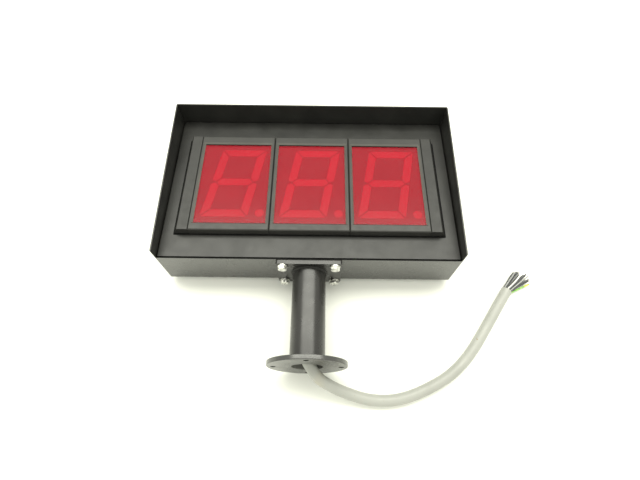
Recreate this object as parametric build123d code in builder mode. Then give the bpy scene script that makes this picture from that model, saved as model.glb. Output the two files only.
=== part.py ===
# Three-digit seven-segment display in a hooded sheet-steel case on a flanged tube post.
#
# It lies on its back, as it is stored and shipped: +X is the display's right, +Y runs up the display, and
# +Z comes out of the digits. The origin is under the middle of the object, at the height of the lowest point
# of the post's round flange, and the case's back stands higher than that, because the flange is wider than
# the case is deep behind the post. All sizes are in millimetres.

from build123d import *
from math import cos, pi, radians, sin, tan
import os

os.makedirs("parts", exist_ok=True)

# ---------------------------------------------------------------- driving dimensions

case_width = 360.0
case_height = 210.0
hood_depth_top = 92.0
hood_depth_bottom = 76.5
panel_depth = 60.0
sheet = 1.5
bend_radius = 2.0
fit_gap = 0.75
panel_bottom_gap = 1.0
lip_depth = 22.0

post_reach = 116.0
post_depth = 31.0
tube_od = 40.0
tube_wall = 2.5
flange_diameter = 90.0
flange_thickness = 5.0
flange_pcd = 75.0
flange_hole = 6.0
plate_width = 78.0
plate_height = 56.0
plate_thickness = 5.0
plate_bolt_x = 62.0
plate_bolt_z = 44.0
weld_leg = 2.5

module_pitch = 96.0
bezel_width = 95.4
bezel_height = 140.0
bezel_bottom = 32.0
bezel_stand = 12.0
bezel_front_skin = 2.3
bezel_lip_bevel = 2.0
window_width = 86.0
window_height = 118.0
window_bottom = 42.5
end_strip_width = 13.0
end_strip_flare = 5.0
gasket_thickness = 1.0
gasket_overhang = 1.2
row_opening_width = 287.0
row_opening_height = 131.0
filter_thickness = 2.0

digit_width = 58.0
digit_height = 101.6
digit_slant = 10.0
segment_width = 10.5
segment_gap = 1.2
segment_chamfer = 3.0
point_diameter = 11.0
point_x = 34.6
point_y = -45.0

clip_rows = (10.0, 106.0)
ledge_width = 11.0
ledge_length = 176.0
leaf_thickness = 0.8
leaf_width = 12.0
leaf_height = 14.0
leaf_foot = 7.0

board_width = 90.0
board_height = 130.0
board_thickness = 1.6
board_back = 66.0
bezel_post_x = 40.0
bezel_post_y = 63.4
bezel_post_radius = 1.8
module_screw = 2.5
module_screw_x = 38.0
segment_thickness = 3.0
led_radius = 1.5
led_height = 3.2

driver_width = 230.0
driver_height = 90.0
driver_y = 78.0
driver_corner = 6.0
standoff = 10.0
header_y = 100.0
header_width = 22.0
header_depth = 9.0
header_height = 8.0
chip_y = 77.0
chip_offset = 16.0
chip_length = 22.0
chip_width = 6.6
chip_height = 3.4
leg_pitch = 2.54
capacitor_places = [(-70, 50), (-56, 50)]
capacitor_radius = 6.0
capacitor_height = 16.0
power_place = (80, 52)
power_width = 40.0
power_depth = 22.0
power_height = 18.0
terminal_count = 18
terminal_pitch = 5.0
terminal_y = 40.0
terminal_depth = 11.0
terminal_height = 12.0
terminal_entry = 3.4
terminal_well = 1.9
ribbon_thickness = 0.9
ribbon_folds = 5
ribbon_reach = 22.0

bolt_size = 6.0
bolt_head_radius = 5.77
bolt_head_height = 4.0
bolt_tail = 7.0
nut_height = 5.0
washer_radius = 6.0
washer_thickness = 1.6
earth_stud_x = 60.0
earth_stud_y = -28.0
earth_stud_height = 13.0

cable_diameter = 13.0
core_diameter = 1.7
core_rings = [(2.1, 6), (4.3, 12)]
gland_thread = 20.0
gland_hex_radius = 13.5
gland_hex_height = 8.0
gland_nut_radius = 14.0
gland_thread_length = 7.0

inner_route = [
    (0, -5, 45),
    (0, -72, 45),
    (-4, -126, 48.5),
    (-5.5, -144, 49.2),
    (-1.312, -154.996, 46.544),
    (4.3, -163, 41.3),
]
cable_route = [
    (4.3, -163, 41.3),
    (10.4, -171.7, 35.6),
    (22.3, -178.2, 25.4),
    (42.5, -185.6, 14.4),
    (72, -193.2, 7.2),
    (104.3, -192.8, 6.5),
    (137.3, -181.2, 6.5),
    (169.3, -164.2, 6.5),
    (194.6, -140.5, 7.4),
    (215.3, -112.8, 8.7),
    (235, -84.5, 9.9),
    (253.6, -58.6, 11.0),
]

# ---------------------------------------------------------------- derived levels

back = flange_diameter / 2 - post_depth
case_low = post_reach - (case_height + post_reach) / 2
case_high = case_low + case_height
flange_face = case_low - post_reach
axis_z = back + post_depth
panel_front = back + panel_depth
panel_back = panel_front - sheet
bezel_front = panel_front + bezel_stand
filter_front = bezel_front - bezel_front_skin
filter_back = filter_front - filter_thickness
bezel_middle_y = case_low + bezel_bottom + bezel_height / 2
window_middle_y = case_low + window_bottom + window_height / 2
digit_middle_y = window_middle_y + 1.5
module_names = ["left", "middle", "right"]
module_places = [-module_pitch, 0.0, module_pitch]
row_end = 1.5 * module_pitch - 0.1
bezel_posts = [(sx * bezel_post_x, sy * bezel_post_y) for sx in (-1, 1) for sy in (-1, 1)]
panel_half_width = case_width / 2 - sheet - fit_gap
panel_low = case_low + sheet + panel_bottom_gap
panel_high = case_high - sheet - fit_gap
lip_back = panel_front - lip_depth
row_back = panel_front + gasket_thickness
body_back = board_back + board_thickness
body_front = filter_back - 0.2
pocket_floor = body_back + 2.0
socket_face = board_back - header_height
driver_back = back + sheet + standoff
driver_front = driver_back + board_thickness
entry_z = driver_front + 4.0
seat_y = case_low + sheet
gland_bore = cable_diameter / 2 + 0.15


def keep(builder, name):
    """Label a finished piece and write it as its own file."""
    builder.part.label = name
    export_step(builder.part, f"parts/{name}.step")


# ---------------------------------------------------------------- case


def make_housing_shell():
    """Folded pan that is also the hood: a back, a low bottom wall, and side walls that taper."""
    side_outline = [
        (case_low, back),
        (case_low, back + hood_depth_bottom),
        (case_high, back + hood_depth_top),
        (case_high, back),
    ]
    with BuildPart() as shell:
        with BuildSketch(Plane.YZ.offset(-case_width / 2)):
            with BuildLine():
                Polyline(side_outline, close=True)
            make_face()
        extrude(amount=case_width)
        back_edges = shell.edges().group_by(Axis.Z)[0]
        depth_edges = shell.edges().filter_by(Axis.Z)
        fillet(back_edges + depth_edges, radius=bend_radius)
        with BuildSketch(Plane.XY.offset(back + sheet)):
            with Locations((0, (case_low + case_high) / 2)):
                Rectangle(case_width - 2 * sheet, case_height - 2 * sheet)
        extrude(amount=hood_depth_top, mode=Mode.SUBTRACT)
        with BuildSketch(Plane.XZ.offset(-case_low - sheet)):
            with Locations((0, panel_front + hood_depth_bottom / 2)):
                Rectangle(case_width - 2 * sheet, hood_depth_bottom)
        extrude(amount=2 * sheet, mode=Mode.SUBTRACT)
        bottom = Plane(origin=(0, case_low - 1, axis_z), x_dir=(1, 0, 0), z_dir=(0, -1, 0))
        with BuildSketch(bottom):
            Circle(gland_thread / 2 + 0.25)
            with GridLocations(plate_bolt_x, plate_bolt_z, 2, 2):
                Circle(bolt_size / 2 + 0.3)
        extrude(amount=-(sheet + 2), mode=Mode.SUBTRACT)
    keep(shell, "housing_shell")


def make_panel_ledges():
    """Two angles on the side walls that the front panel's lips rest on."""
    outer = case_width / 2 - sheet
    with BuildPart() as ledges:
        with BuildSketch(Plane.XZ.offset(-(case_low + case_high) / 2 - ledge_length / 2)):
            for side in (-1, 1):
                with BuildLine():
                    Polyline(
                        (side * outer, lip_back),
                        (side * (outer - ledge_width), lip_back),
                        (side * (outer - ledge_width), lip_back - sheet),
                        (side * (outer - sheet), lip_back - sheet),
                        (side * (outer - sheet), lip_back - ledge_width),
                        (side * outer, lip_back - ledge_width),
                        close=True,
                    )
                make_face()
        extrude(amount=ledge_length)
    keep(ledges, "panel_ledges")


def make_panel_clips():
    """Four spring leaves on the ledges that press outward on the inside of the panel's lips."""
    leaf_face = panel_half_width - sheet - 0.3
    with BuildPart() as clips:
        for side in (-1, 1):
            leaf_x = side * (leaf_face - leaf_thickness / 2)
            foot_x = side * (leaf_face - leaf_foot / 2)
            with Locations(*[(leaf_x, y, lip_back + leaf_height / 2) for y in clip_rows]):
                Box(leaf_thickness, leaf_width, leaf_height)
            with Locations(*[(foot_x, y, lip_back + leaf_thickness / 2) for y in clip_rows]):
                Box(leaf_foot, leaf_width, leaf_thickness)
    keep(clips, "panel_clips")


# ---------------------------------------------------------------- front panel and display modules


def make_front_panel():
    """Sheet panel with lips folded back at its sides and top and one opening behind the modules."""
    with BuildPart() as panel:
        with BuildSketch(Plane.XY.offset(panel_back)):
            with Locations((0, (panel_low + panel_high) / 2)):
                Rectangle(2 * panel_half_width, panel_high - panel_low)
        extrude(amount=sheet)
        with BuildSketch(Plane.XY.offset(lip_back)):
            for side in (-1, 1):
                with Locations((side * (panel_half_width - sheet / 2), (panel_low + panel_high) / 2)):
                    Rectangle(sheet, panel_high - panel_low)
            with Locations((0, panel_high - sheet / 2)):
                Rectangle(2 * panel_half_width, sheet)
        extrude(amount=lip_depth - sheet / 2)
        fillet(panel.edges().filter_by(Axis.Y).group_by(Axis.Z)[-1], radius=1.2)
        with BuildSketch(Plane.XY.offset(panel_back - 1)):
            with Locations((0, bezel_middle_y)):
                Rectangle(row_opening_width, row_opening_height)
        extrude(amount=sheet + 2, mode=Mode.SUBTRACT)
        with Locations(*[(x, y, panel_front) for x, y in module_screw_places()]):
            Hole(radius=module_screw / 2 + 0.15, depth=sheet * 2)
    keep(panel, "front_panel")


def make_row_gasket():
    """Black rubber gasket between the panel and the row of modules, a little larger than the row's foot."""
    foot_width = 2 * (row_end + end_strip_width + end_strip_flare + gasket_overhang)
    with BuildPart() as gasket:
        with BuildSketch(Plane.XY.offset(panel_front)):
            with Locations((0, bezel_middle_y)):
                Rectangle(foot_width, bezel_height + 2 * gasket_overhang)
                Rectangle(row_opening_width, row_opening_height, mode=Mode.SUBTRACT)
            with Locations(*module_screw_places()):
                Circle(module_screw / 2 + 0.15, mode=Mode.SUBTRACT)
        extrude(amount=gasket_thickness)
    keep(gasket, "row_gasket")


def module_screw_places():
    """Every place where a screw comes through the panel into a bezel."""
    rows = (bezel_middle_y - bezel_height / 2 + 2, bezel_middle_y + bezel_height / 2 - 2)
    return [(x + dx, y) for x in module_places for dx in (-module_screw_x, module_screw_x) for y in rows]


def digit_screw_places():
    """Every place where a screw holds a digit board to its bezel."""
    return [(x + dx, bezel_middle_y + dy) for x in module_places for dx, dy in bezel_posts]


def make_bezel(name, x):
    """Moulded frame round one digit, with a bevelled window and four posts for the board behind it."""
    cavity_width = board_width + 0.6
    cavity_height = 122.8
    screw_holes = [(px, py, panel_front - 1) for px, py in module_screw_places() if abs(px - x) < module_pitch / 2]
    with BuildPart() as bezel:
        with BuildSketch(Plane.XY.offset(row_back)):
            with Locations((x, bezel_middle_y)):
                Rectangle(bezel_width, bezel_height)
        extrude(amount=bezel_front - row_back)
        chamfer(bezel.edges().group_by(Axis.Z)[-1], length=1.0)
        with BuildSketch(Plane.XY.offset(row_back)):
            with Locations((x, window_middle_y)):
                Rectangle(cavity_width, cavity_height)
        extrude(amount=filter_front - row_back, mode=Mode.SUBTRACT)
        with BuildSketch(Plane.XY.offset(filter_front)):
            with Locations((x, window_middle_y)):
                Rectangle(window_width, window_height)
        with BuildSketch(Plane.XY.offset(bezel_front)):
            with Locations((x, window_middle_y)):
                Rectangle(window_width + 2 * bezel_lip_bevel, window_height + 2 * bezel_lip_bevel)
        loft(mode=Mode.SUBTRACT)
        with BuildSketch(Plane.XY.offset(body_back)):
            with Locations(*[(x + dx, bezel_middle_y + dy) for dx, dy in bezel_posts]):
                Circle(bezel_post_radius)
        extrude(amount=row_back - body_back + 1)
        with Locations(*[(x + dx, bezel_middle_y + dy, body_back - 1) for dx, dy in bezel_posts]):
            Cylinder(1.0, 8, align=(Align.CENTER, Align.CENTER, Align.MIN), mode=Mode.SUBTRACT)
        with Locations(*screw_holes):
            Cylinder(module_screw / 2, 8, align=(Align.CENTER, Align.CENTER, Align.MIN), mode=Mode.SUBTRACT)
    keep(bezel, f"bezel_{name}")


def make_end_strip(name, side):
    """Moulded strip that closes the row of modules at one end, flared outward towards the panel."""
    top_end = row_end + end_strip_width
    section = [
        (side * row_end, row_back),
        (side * (top_end + end_strip_flare), row_back),
        (side * (top_end + 0.5), bezel_front - 1.0),
        (side * (top_end - 0.5), bezel_front),
        (side * (row_end + 0.6), bezel_front),
        (side * row_end, bezel_front - 0.6),
    ]
    with BuildPart() as strip:
        with BuildSketch(Plane.XZ.offset(bezel_height / 2 - bezel_middle_y)):
            with BuildLine():
                Polyline(section, close=True)
            make_face()
        extrude(amount=-bezel_height)
    keep(strip, f"end_strip_{name}")


def make_filter(name, x):
    """Red acrylic sheet behind one bezel's window."""
    with BuildPart() as red_filter:
        with BuildSketch(Plane.XY.offset(filter_back)):
            with Locations((x, window_middle_y)):
                Rectangle(board_width, window_height + 4)
        extrude(amount=filter_thickness)
    keep(red_filter, f"filter_{name}")


def segment_outlines():
    """Corners of the seven mitred segments about the digit's middle, before the slant and the gaps."""
    a = (digit_width + segment_gap) / 2
    b = (digit_height + segment_gap) / 2
    t = segment_width + segment_gap
    c = segment_chamfer
    top = [(c - a, b), (a - c, b), (a - c / 2, b - c / 2), (a - t, b - t), (t - a, b - t), (c / 2 - a, b - c / 2)]
    upright = [(a, b - c), (a, c), (a - t / 2, 0), (a - t, t / 2), (a - t, b - t), (a - c / 2, b - c / 2)]
    middle = [(t / 2 - a, 0), (t - a, t / 2), (a - t, t / 2), (a - t / 2, 0), (a - t, -t / 2), (t - a, -t / 2)]
    bottom = [(px, -py) for px, py in top]
    uprights = [[(sx * px, sy * py) for px, py in upright] for sx in (-1, 1) for sy in (-1, 1)]
    return [top, middle, bottom] + uprights


def slanted(points, x):
    """The same corners leaned over to the right and moved to the digit's place."""
    lean = tan(radians(digit_slant))
    return [(x + px + py * lean, digit_middle_y + py) for px, py in points]


def segment_sketch(x, inset, level):
    """All eight lit areas of a digit, each drawn in from its outline by the inset."""
    with BuildSketch(Plane.XY.offset(level)) as areas:
        for outline in segment_outlines():
            with BuildSketch(Plane.XY.offset(level), mode=Mode.PRIVATE) as area:
                with BuildLine():
                    Polyline(*slanted(outline, x), close=True)
                make_face()
                offset(amount=-inset, kind=Kind.INTERSECTION)
            add(area.sketch)
        with Locations((x + point_x, digit_middle_y + point_y)):
            Circle(point_diameter / 2 - inset + segment_gap / 2)
    return areas.sketch


def make_digit_body(name, x):
    """Opaque block with an open pocket behind each segment and the decimal point."""
    pockets = segment_sketch(x, segment_gap / 2 - 0.1, pocket_floor)
    with BuildPart() as body:
        with BuildSketch(Plane.XY.offset(body_back)):
            with Locations((x, window_middle_y)):
                Rectangle(board_width, window_height + 4)
        extrude(amount=body_front - body_back)
        add(extrude(pockets, amount=body_front - pocket_floor + 1, mode=Mode.PRIVATE), mode=Mode.SUBTRACT)
    keep(body, f"digit_body_{name}")


def make_segments(name, x):
    """Light-scattering caps that fill the mouths of the pockets."""
    caps = segment_sketch(x, segment_gap / 2, body_front - segment_thickness)
    with BuildPart() as segments:
        add(extrude(caps, amount=segment_thickness, mode=Mode.PRIVATE))
    keep(segments, f"segments_{name}")


def led_places(x):
    """Four lamps under each segment and one under the point."""
    half_w = (digit_width - segment_width) / 2
    half_h = (digit_height - segment_width) / 2
    steps = (-0.6, -0.2, 0.2, 0.6)
    level = [(step * half_w, row * half_h) for row in (-1, 0, 1) for step in steps]
    rows = [half_h * (0.5 * sy + 0.5 * step) for sy in (-1, 1) for step in steps]
    upright = [(sx * half_w, row) for sx in (-1, 1) for row in rows]
    lean = tan(radians(digit_slant))
    spots = [(x + px + py * lean, digit_middle_y + py) for px, py in level + upright]
    return spots + [(x + point_x, digit_middle_y + point_y)]


def make_leds(name, x):
    """The red lamps that stand on the floor of the pockets."""
    with BuildPart() as leds:
        with BuildSketch(Plane.XY.offset(pocket_floor)):
            with Locations(*led_places(x)):
                Circle(led_radius)
        extrude(amount=led_height)
        fillet(leds.edges().group_by(Axis.Z)[-1], radius=0.8 * led_radius)
    keep(leds, f"leds_{name}")


def make_digit_board(name, x):
    """Circuit board behind one digit."""
    holes = [(x + dx, bezel_middle_y + dy, body_back) for dx, dy in bezel_posts]
    with BuildPart() as board:
        with BuildSketch(Plane.XY.offset(board_back)):
            with Locations((x, bezel_middle_y)):
                Rectangle(board_width, board_height)
        extrude(amount=board_thickness)
        with Locations(*holes):
            Hole(radius=1.1, depth=board_thickness * 2)
    keep(board, f"digit_board_{name}")


def make_pan_screws(name, places, underside, shank, shank_length, head, head_height):
    """A set of pan-head screws whose heads hang below the given level and whose shanks point up."""
    with BuildPart() as screws:
        with BuildSketch(Plane.XY.offset(underside - head_height)):
            with Locations(*places):
                Circle(head / 2)
        extrude(amount=head_height)
        fillet(screws.edges().group_by(Axis.Z)[0], radius=head_height * 0.45)
        with BuildSketch(Plane.XY.offset(underside - head_height)):
            with Locations(*places):
                Rectangle(head * 0.6, 0.6)
                Rectangle(0.6, head * 0.6)
        extrude(amount=head_height * 0.4, mode=Mode.SUBTRACT)
        with BuildSketch(Plane.XY.offset(underside - 0.2)):
            with Locations(*places):
                Circle(shank / 2)
        extrude(amount=shank_length)
    keep(screws, name)


def make_digit_headers():
    """Shrouded plugs on the back of the three digit boards."""
    with BuildPart() as headers:
        with Locations(*[(x, header_y, board_back - header_height / 2) for x in module_places]):
            Box(header_width, header_depth, header_height)
    keep(headers, "digit_headers")


# ---------------------------------------------------------------- electronics in the case

def driver_corners():
    """The four fixing places of the driver board."""
    half_x = driver_width / 2 - driver_corner
    half_y = driver_height / 2 - driver_corner
    return [(sx * half_x, driver_y + sy * half_y) for sx in (-1, 1) for sy in (-1, 1)]


def make_driver_board():
    """Circuit board that feeds the three digits."""
    with BuildPart() as board:
        with BuildSketch(Plane.XY.offset(driver_back)):
            with Locations((0, driver_y)):
                Rectangle(driver_width, driver_height)
        extrude(amount=board_thickness)
        with Locations(*[(x, y, driver_front) for x, y in driver_corners()]):
            Hole(radius=1.6, depth=board_thickness * 2)
    keep(board, "driver_board")


def make_standoffs():
    """Hexagonal pillars on the case's back, tapped from the front."""
    with BuildPart() as pillars:
        with BuildSketch(Plane.XY.offset(back + sheet)):
            with Locations(*driver_corners()):
                RegularPolygon(3.0, 6)
        extrude(amount=standoff)
        with Locations(*[(x, y, driver_back) for x, y in driver_corners()]):
            Hole(radius=1.45, depth=7)
    keep(pillars, "board_standoffs")


def make_driver_screws():
    """Screws that hold the driver board on its pillars."""
    with BuildPart() as screws:
        with BuildSketch(Plane.XY.offset(driver_front)):
            with Locations(*driver_corners()):
                Circle(2.8)
        extrude(amount=2.0)
        fillet(screws.edges().group_by(Axis.Z)[-1], radius=0.9)
        with BuildSketch(Plane.XY.offset(driver_front + 1.2)):
            with Locations(*driver_corners()):
                Rectangle(3.2, 0.6)
                Rectangle(0.6, 3.2)
        extrude(amount=1.0, mode=Mode.SUBTRACT)
        with BuildSketch(Plane.XY.offset(driver_back - 5)):
            with Locations(*driver_corners()):
                Circle(1.4)
        extrude(amount=board_thickness + 5.5)
    keep(screws, "driver_screws")


def make_driver_chips():
    """Six dual-in-line circuits in a row on the driver board."""
    middles = [x + dx for x in module_places for dx in (-chip_offset, chip_offset)]
    leg_x = chip_width / 2 + 0.3
    leg_rows = [chip_y + (leg - 3.5) * leg_pitch for leg in range(8)]
    legs = [(x + side * leg_x, y) for x in middles for side in (-1, 1) for y in leg_rows]
    with BuildPart() as chips:
        with BuildSketch(Plane.XY.offset(driver_front + 0.6)):
            with Locations(*[(x, chip_y) for x in middles]):
                Rectangle(chip_width, chip_length)
        extrude(amount=chip_height)
        chamfer(chips.edges().group_by(Axis.Z)[-1], length=0.5)
        with BuildSketch(Plane.XY.offset(driver_front)):
            with Locations(*legs):
                Rectangle(0.8, 1.2)
        extrude(amount=0.6 + chip_height / 2)
    keep(chips, "driver_chips")


def make_capacitors():
    """Two upright smoothing capacitors."""
    with BuildPart() as capacitors:
        with BuildSketch(Plane.XY.offset(driver_front)):
            with Locations(*capacitor_places):
                Circle(capacitor_radius)
        extrude(amount=capacitor_height)
        fillet(capacitors.edges().group_by(Axis.Z)[-1], radius=0.8)
    keep(capacitors, "capacitors")


def make_power_module():
    """Potted converter that turns the supply into the lamps' low voltage."""
    with BuildPart() as converter:
        with BuildSketch(Plane.XY.offset(driver_front)):
            with Locations(power_place):
                Rectangle(power_width, power_depth)
        extrude(amount=power_height)
        fillet(converter.edges().filter_by(Axis.Z), radius=1.5)
        chamfer(converter.edges().group_by(Axis.Z)[-1], length=0.8)
    keep(converter, "power_module")


def terminal_x(index):
    """Middle of one way of the terminal block."""
    return (index - (terminal_count - 1) / 2) * terminal_pitch


def make_terminal_block():
    """Moulded screw terminals along the board's lower edge, one way for each core."""
    low_face = Plane(origin=(0, terminal_y - terminal_depth / 2, entry_z), x_dir=(1, 0, 0), z_dir=(0, -1, 0))
    with BuildPart() as block:
        with BuildSketch(Plane.XY.offset(driver_front)):
            with Locations((0, terminal_y)):
                Rectangle(terminal_count * terminal_pitch, terminal_depth)
        extrude(amount=terminal_height)
        chamfer(block.edges().filter_by(Axis.X).group_by(Axis.Z)[-1], length=2.0)
        with BuildSketch(low_face):
            with Locations(*[(terminal_x(i), 0) for i in range(terminal_count)]):
                Rectangle(terminal_entry, terminal_entry)
        extrude(amount=-6, mode=Mode.SUBTRACT)
        with BuildSketch(Plane.XY.offset(driver_front + terminal_height)):
            with Locations(*[(terminal_x(i), terminal_y) for i in range(terminal_count)]):
                Circle(terminal_well)
        extrude(amount=-4, mode=Mode.SUBTRACT)
    keep(block, "terminal_block")


def make_terminal_screws():
    """Slotted screws in the terminal block's wells."""
    places = [(terminal_x(i), terminal_y) for i in range(terminal_count)]
    head_top = driver_front + terminal_height - 1.5
    with BuildPart() as screws:
        with BuildSketch(Plane.XY.offset(driver_front + terminal_height - 4)):
            with Locations(*places):
                Circle(terminal_well - 0.2)
        extrude(amount=2.5)
        with BuildSketch(Plane.XY.offset(head_top - 0.8)):
            with Locations(*places):
                Rectangle(4, 0.6)
        extrude(amount=2, mode=Mode.SUBTRACT)
    keep(screws, "terminal_screws")


def make_board_headers():
    """Shrouded plugs on the driver board, each straight behind its digit's plug."""
    with BuildPart() as headers:
        with Locations(*[(x, header_y, driver_front + header_height / 2) for x in module_places]):
            Box(header_width, header_depth, header_height)
    keep(headers, "board_headers")


def make_ribbon(name, x):
    """Flat cable folded to and fro between the two plugs, so that it can pay out when the panel lifts."""
    low = driver_front + header_height
    high = socket_face
    pitch = (high - low) / ribbon_folds
    near = header_y - 2.0
    points = [(near, low)]
    for fold in range(ribbon_folds):
        level = low + pitch * (fold + 0.5)
        swing = near + (ribbon_reach if fold % 2 else -ribbon_reach)
        points.append((swing, level))
    points.append((near, high))
    with BuildPart() as ribbon:
        with BuildSketch(Plane.YZ.offset(x - header_width / 2 + 1)):
            with BuildLine():
                route = Polyline(*points)
            trace(route, line_width=ribbon_thickness)
            with Locations((near, low - 1)):
                Rectangle(4 * ribbon_reach, 2, mode=Mode.SUBTRACT)
            with Locations((near, high + 1)):
                Rectangle(4 * ribbon_reach, 2, mode=Mode.SUBTRACT)
        extrude(amount=header_width - 2)
    keep(ribbon, f"ribbon_{name}")


def make_earth_stud():
    """Threaded earth stud welded to the inside of the case's back."""
    with BuildPart() as stud:
        with Locations((earth_stud_x, earth_stud_y, back + sheet)):
            Cylinder(bolt_size / 2, earth_stud_height, align=(Align.CENTER, Align.CENTER, Align.MIN))
    keep(stud, "earth_stud")


def make_earth_nut():
    """Hexagonal nut that clamps the earth lead's ring on the stud."""
    with BuildPart() as nut:
        with BuildSketch(Plane.XY.offset(back + sheet + 1.0)):
            with Locations((earth_stud_x, earth_stud_y)):
                RegularPolygon(bolt_head_radius, 6)
                Circle(bolt_size / 2 + 0.05, mode=Mode.SUBTRACT)
        extrude(amount=nut_height)
    keep(nut, "earth_nut")


# ---------------------------------------------------------------- cable entry

def along_post(y, angle=0.0):
    """Plane square to the post at height y, facing down the post."""
    return Plane(origin=(0, y, axis_z), x_dir=(cos(angle), 0, sin(angle)), z_dir=(0, -1, 0))


def make_cable_gland():
    """Gland body: a hexagon inside the case and a thread out through the bottom wall."""
    thread_end = sheet + gland_thread_length
    with BuildPart() as gland:
        with BuildSketch(along_post(seat_y + gland_hex_height)):
            RegularPolygon(gland_hex_radius, 6)
        extrude(amount=gland_hex_height)
        with BuildSketch(along_post(seat_y)):
            Circle(gland_thread / 2)
        extrude(amount=thread_end)
        with BuildSketch(along_post(seat_y + gland_hex_height)):
            Circle(gland_bore + 0.6)
        extrude(amount=gland_hex_height + thread_end, mode=Mode.SUBTRACT)
    keep(gland, "cable_gland")


def make_gland_nut():
    """Lock nut that clamps the gland, in the mouth of the post."""
    with BuildPart() as nut:
        with BuildSketch(along_post(case_low)):
            RegularPolygon(gland_nut_radius, 6)
            Circle(gland_thread / 2 + 0.05, mode=Mode.SUBTRACT)
        extrude(amount=nut_height)
    keep(nut, "gland_nut")


def make_gland_cap():
    """Domed compression cap of the gland: a hexagon that screws on the body, then a round dome."""
    hex_top = seat_y + gland_hex_height + 9
    with BuildPart() as cap:
        with BuildSketch(along_post(hex_top)):
            RegularPolygon(gland_hex_radius, 6)
        extrude(amount=9)
        with BuildSketch(along_post(hex_top + 5)):
            Circle(gland_hex_radius - 1.5)
        extrude(amount=5)
        fillet(cap.edges().group_by(Axis.Y)[-1], radius=3.0)
        with BuildSketch(along_post(hex_top + 5)):
            Circle(gland_bore + 1.6)
        extrude(amount=14, mode=Mode.SUBTRACT)
    keep(cap, "gland_cap")


def make_gland_seal():
    """Rubber sleeve squeezed between the cap and the cable, which stands 1 mm out of the cap."""
    seal_length = 14.0
    with BuildPart() as seal:
        with BuildSketch(along_post(seat_y + gland_hex_height + seal_length + 1)):
            Circle(gland_bore + 1.5)
            Circle(gland_bore, mode=Mode.SUBTRACT)
        extrude(amount=seal_length)
    keep(seal, "gland_seal")


# ---------------------------------------------------------------- post


def make_post_plate():
    """Square plate that bolts the post to the case's bottom wall."""
    with BuildPart() as plate:
        with BuildSketch(along_post(case_low)):
            RectangleRounded(plate_width, plate_height, 3.0)
            Circle(tube_od / 2 - tube_wall, mode=Mode.SUBTRACT)
            with GridLocations(plate_bolt_x, plate_bolt_z, 2, 2):
                Circle(bolt_size / 2 + 0.3, mode=Mode.SUBTRACT)
        extrude(amount=plate_thickness)
    keep(plate, "post_plate")


def make_post_tube():
    """Round tube between the plate and the flange."""
    length = post_reach - plate_thickness - flange_thickness
    with BuildPart() as tube:
        with BuildSketch(along_post(case_low - plate_thickness)):
            Circle(tube_od / 2)
            Circle(tube_od / 2 - tube_wall, mode=Mode.SUBTRACT)
        extrude(amount=length)
    keep(tube, "post_tube")


def make_post_flange():
    """Round mounting flange with four bolt holes and the cable's way out."""
    with BuildPart() as flange:
        with BuildSketch(along_post(flange_face + flange_thickness)):
            Circle(flange_diameter / 2)
            Circle(tube_od / 2 - tube_wall, mode=Mode.SUBTRACT)
            with PolarLocations(flange_pcd / 2, 4):
                Circle(flange_hole / 2, mode=Mode.SUBTRACT)
        extrude(amount=flange_thickness)
        chamfer(flange.edges().group_by(Axis.Y)[0].sort_by(SortBy.RADIUS)[-1], length=0.5)
    keep(flange, "post_flange")


def make_weld_beads():
    """Fillet welds round the tube's two ends."""
    inner = tube_od / 2
    plate_face = case_low - plate_thickness
    flange_back = flange_face + flange_thickness
    with BuildPart() as beads:
        with BuildSketch(Plane(origin=(0, 0, axis_z), x_dir=(1, 0, 0), z_dir=(0, 0, 1))):
            for face, way in ((plate_face, -1), (flange_back, 1)):
                with BuildLine():
                    Line((inner, face), (inner + weld_leg, face))
                    ThreePointArc(
                        (inner + weld_leg, face),
                        (inner + weld_leg * 0.42, face + way * weld_leg * 0.42),
                        (inner, face + way * weld_leg),
                    )
                    Line((inner, face + way * weld_leg), (inner, face))
                make_face()
        revolve(axis=Axis((0, 0, axis_z), (0, 1, 0)))
    keep(beads, "weld_beads")


def make_plate_bolts():
    """Hexagon-head bolts through the plate and the case's bottom wall."""
    head_seat = case_low - plate_thickness - washer_thickness
    with BuildPart() as bolts:
        with BuildSketch(along_post(head_seat)):
            with GridLocations(plate_bolt_x, plate_bolt_z, 2, 2):
                RegularPolygon(bolt_head_radius, 6, rotation=30)
        extrude(amount=bolt_head_height)
        chamfer(bolts.edges().group_by(Axis.Y)[0], length=0.4)
        with BuildSketch(along_post(seat_y + bolt_tail)):
            with GridLocations(plate_bolt_x, plate_bolt_z, 2, 2):
                Circle(bolt_size / 2)
        extrude(amount=seat_y + bolt_tail - head_seat + 0.5)
    keep(bolts, "plate_bolts")


def make_plate_washers():
    """Flat washers under the bolt heads."""
    with BuildPart() as washers:
        with BuildSketch(along_post(case_low - plate_thickness)):
            with GridLocations(plate_bolt_x, plate_bolt_z, 2, 2):
                Circle(washer_radius)
                Circle(bolt_size / 2 + 0.2, mode=Mode.SUBTRACT)
        extrude(amount=washer_thickness)
    keep(washers, "plate_washers")


def make_plate_nuts():
    """Nuts on the bolts inside the case."""
    with BuildPart() as nuts:
        with BuildSketch(along_post(seat_y + nut_height)):
            with GridLocations(plate_bolt_x, plate_bolt_z, 2, 2):
                RegularPolygon(bolt_head_radius, 6)
                Circle(bolt_size / 2 + 0.05, mode=Mode.SUBTRACT)
        extrude(amount=nut_height)
    keep(nuts, "plate_nuts")


# ---------------------------------------------------------------- cable

def corner_radii(route):
    """Largest arc that each corner's two runs allow."""
    corners = [Vector(*point) for point in route]
    runs = [b - a for a, b in zip(corners, corners[1:])]
    radii = []
    for before, after in zip(runs, runs[1:]):
        half_turn = radians(before.get_angle(after)) / 2
        radii.append(0.45 * min(before.length, after.length) / tan(half_turn))
    return radii


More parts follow.
